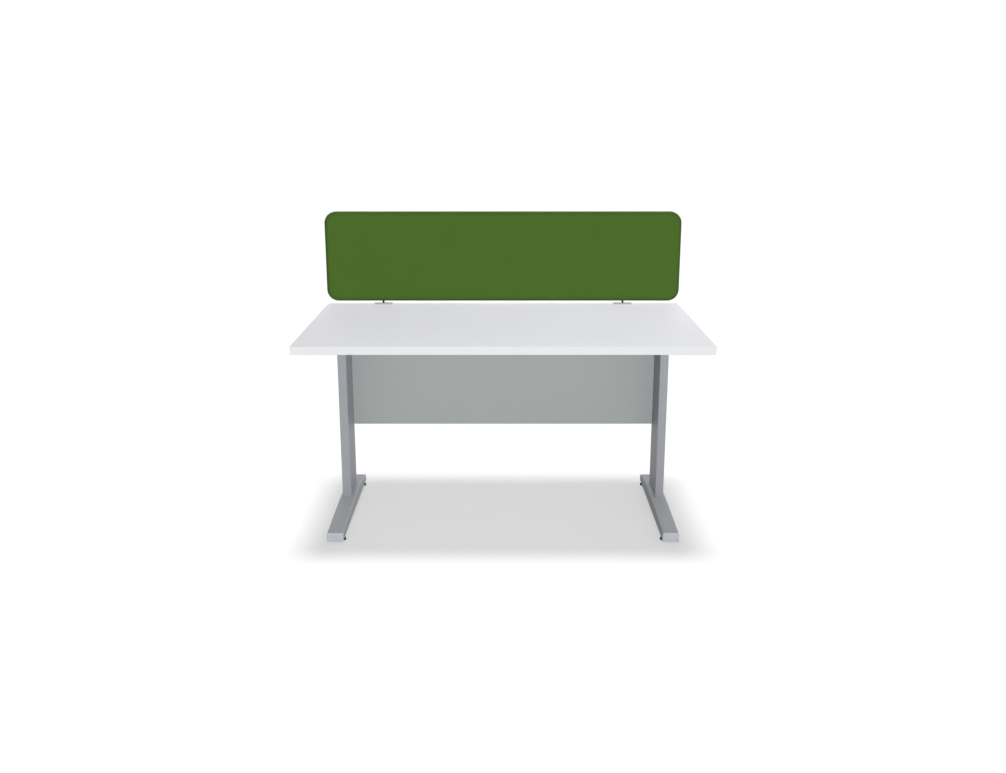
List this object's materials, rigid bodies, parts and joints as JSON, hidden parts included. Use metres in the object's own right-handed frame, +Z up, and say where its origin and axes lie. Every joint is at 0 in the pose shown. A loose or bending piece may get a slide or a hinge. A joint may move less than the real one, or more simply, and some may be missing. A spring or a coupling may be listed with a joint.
{
  "type": "study carrel",
  "caption": "Study desk on a cantilever steel frame, with a modesty panel below and an upholstered privacy screen clamped along its rear edge; glides and clamp screws adjust.",
  "frame": {"origin": "on the floor, at the middle of the footprint", "axes": "+X along the desk to the seated user's right, +Y away from the user towards the screen, +Z up"},
  "size_m": [1.4, 0.805, 1.0955],
  "materials": {
    "white_board": "white melamine facing, fine matt texture",
    "white_edging": "white edge banding, satin",
    "silver_steel": "silver-grey powder coat, fine texture",
    "cover_steel": "darker silver-grey powder coat, fine texture",
    "silver_plastic": "moulded silver-grey plastic",
    "grey_board": "silver-grey melamine facing",
    "core_board": "raw particle board",
    "green_fabric": "woven upholstery, matt",
    "clamp_steel": "pale silver powder coat",
    "black_steel": "black, satin",
    "black_plastic": "black moulded plastic",
    "zinc_steel": "bright zinc plated"
  },
  "bodies": {
    "desk": {"desk_top": "white_board", "edge_band_front": "white_edging", "edge_band_rear": "white_edging", "edge_band_left": "white_edging", "edge_band_right": "white_edging", "left_upright": "silver_steel", "left_cable_cover": "cover_steel", "left_foot": "silver_steel", "left_foot_cap_front": "silver_plastic", "left_foot_cap_rear": "silver_plastic", "left_top_arm": "silver_steel", "left_arm_screw_front": "zinc_steel", "left_foot_bolt_front": "zinc_steel", "glide_nut_plate_front_left": "zinc_steel", "left_arm_screw_rear": "zinc_steel", "left_foot_bolt_rear": "zinc_steel", "glide_nut_plate_rear_left": "zinc_steel", "left_beam_bolt": "zinc_steel", "left_panel_screw_lower": "zinc_steel", "left_panel_screw_upper": "zinc_steel", "left_post_socket": "black_plastic", "left_screen_post": "black_steel", "left_clamp_bracket": "clamp_steel", "right_upright": "silver_steel", "right_cable_cover": "cover_steel", "right_foot": "silver_steel", "right_foot_cap_front": "silver_plastic", "right_foot_cap_rear": "silver_plastic", "right_top_arm": "silver_steel", "right_arm_screw_front": "zinc_steel", "right_foot_bolt_front": "zinc_steel", "glide_nut_plate_front_right": "zinc_steel", "right_arm_screw_rear": "zinc_steel", "right_foot_bolt_rear": "zinc_steel", "glide_nut_plate_rear_right": "zinc_steel", "right_beam_bolt": "zinc_steel", "right_panel_screw_lower": "zinc_steel", "right_panel_screw_upper": "zinc_steel", "right_post_socket": "black_plastic", "right_screen_post": "black_steel", "right_clamp_bracket": "clamp_steel", "cross_beam": "silver_steel", "modesty_panel": "grey_board", "screen_core": "core_board", "screen_front_pad": "green_fabric", "screen_rear_pad": "green_fabric"},
    "front_left_glide": {"glide_pad_front_left": "black_plastic"},
    "front_left_glide_stem": {"glide_stem_front_left": "zinc_steel"},
    "rear_left_glide": {"glide_pad_rear_left": "black_plastic"},
    "rear_left_glide_stem": {"glide_stem_rear_left": "zinc_steel"},
    "left_clamp_pad": {"left_clamp_pad": "black_plastic"},
    "left_clamp_screw": {"left_clamp_screw": "zinc_steel", "left_clamp_knob": "black_plastic"},
    "front_right_glide": {"glide_pad_front_right": "black_plastic"},
    "front_right_glide_stem": {"glide_stem_front_right": "zinc_steel"},
    "rear_right_glide": {"glide_pad_rear_right": "black_plastic"},
    "rear_right_glide_stem": {"glide_stem_rear_right": "zinc_steel"},
    "right_clamp_pad": {"right_clamp_pad": "black_plastic"},
    "right_clamp_screw": {"right_clamp_screw": "zinc_steel", "right_clamp_knob": "black_plastic"}
  },
  "joints": [
    {"name": "front_left_glide_travel", "type": "slide", "parent": "desk", "child": "front_left_glide", "axis": [0, 0, -1], "range_m": [0, 0.012]},
    {"name": "front_left_glide_turn", "type": "hinge", "parent": "front_left_glide", "child": "front_left_glide_stem", "pos_m": [-0.5915, -0.2825, 0.02], "axis": [0, 0, -1], "range_deg": [0, 2881]},
    {"name": "rear_left_glide_travel", "type": "slide", "parent": "desk", "child": "rear_left_glide", "axis": [0, 0, -1], "range_m": [0, 0.012]},
    {"name": "rear_left_glide_turn", "type": "hinge", "parent": "rear_left_glide", "child": "rear_left_glide_stem", "pos_m": [-0.5915, 0.2775, 0.02], "axis": [0, 0, -1], "range_deg": [0, 2881]},
    {"name": "left_clamp_travel", "type": "slide", "parent": "desk", "child": "left_clamp_pad", "axis": [0, 0, -1], "range_m": [0, 0.025]},
    {"name": "left_clamp_turn", "type": "hinge", "parent": "left_clamp_pad", "child": "left_clamp_screw", "pos_m": [-0.478, 0.3615, 0.66], "axis": [0, 0, -1], "range_deg": [0, 7201]},
    {"name": "front_right_glide_travel", "type": "slide", "parent": "desk", "child": "front_right_glide", "axis": [0, 0, -1], "range_m": [0, 0.012]},
    {"name": "front_right_glide_turn", "type": "hinge", "parent": "front_right_glide", "child": "front_right_glide_stem", "pos_m": [0.5915, -0.2825, 0.02], "axis": [0, 0, -1], "range_deg": [0, 2881]},
    {"name": "rear_right_glide_travel", "type": "slide", "parent": "desk", "child": "rear_right_glide", "axis": [0, 0, -1], "range_m": [0, 0.012]},
    {"name": "rear_right_glide_turn", "type": "hinge", "parent": "rear_right_glide", "child": "rear_right_glide_stem", "pos_m": [0.5915, 0.2775, 0.02], "axis": [0, 0, -1], "range_deg": [0, 2881]},
    {"name": "right_clamp_travel", "type": "slide", "parent": "desk", "child": "right_clamp_pad", "axis": [0, 0, -1], "range_m": [0, 0.025]},
    {"name": "right_clamp_turn", "type": "hinge", "parent": "right_clamp_pad", "child": "right_clamp_screw", "pos_m": [0.478, 0.3615, 0.66], "axis": [0, 0, -1], "range_deg": [0, 7201]}
  ],
  "couplings": [
    {"joint": "front_left_glide_turn", "follows": "front_left_glide_travel", "rad_per_m": 4188.8},
    {"joint": "rear_left_glide_turn", "follows": "rear_left_glide_travel", "rad_per_m": 4188.8},
    {"joint": "left_clamp_turn", "follows": "left_clamp_travel", "rad_per_m": 5026.5},
    {"joint": "front_right_glide_turn", "follows": "front_right_glide_travel", "rad_per_m": 4188.8},
    {"joint": "rear_right_glide_turn", "follows": "rear_right_glide_travel", "rad_per_m": 4188.8},
    {"joint": "right_clamp_turn", "follows": "right_clamp_travel", "rad_per_m": 5026.5}
  ]
}
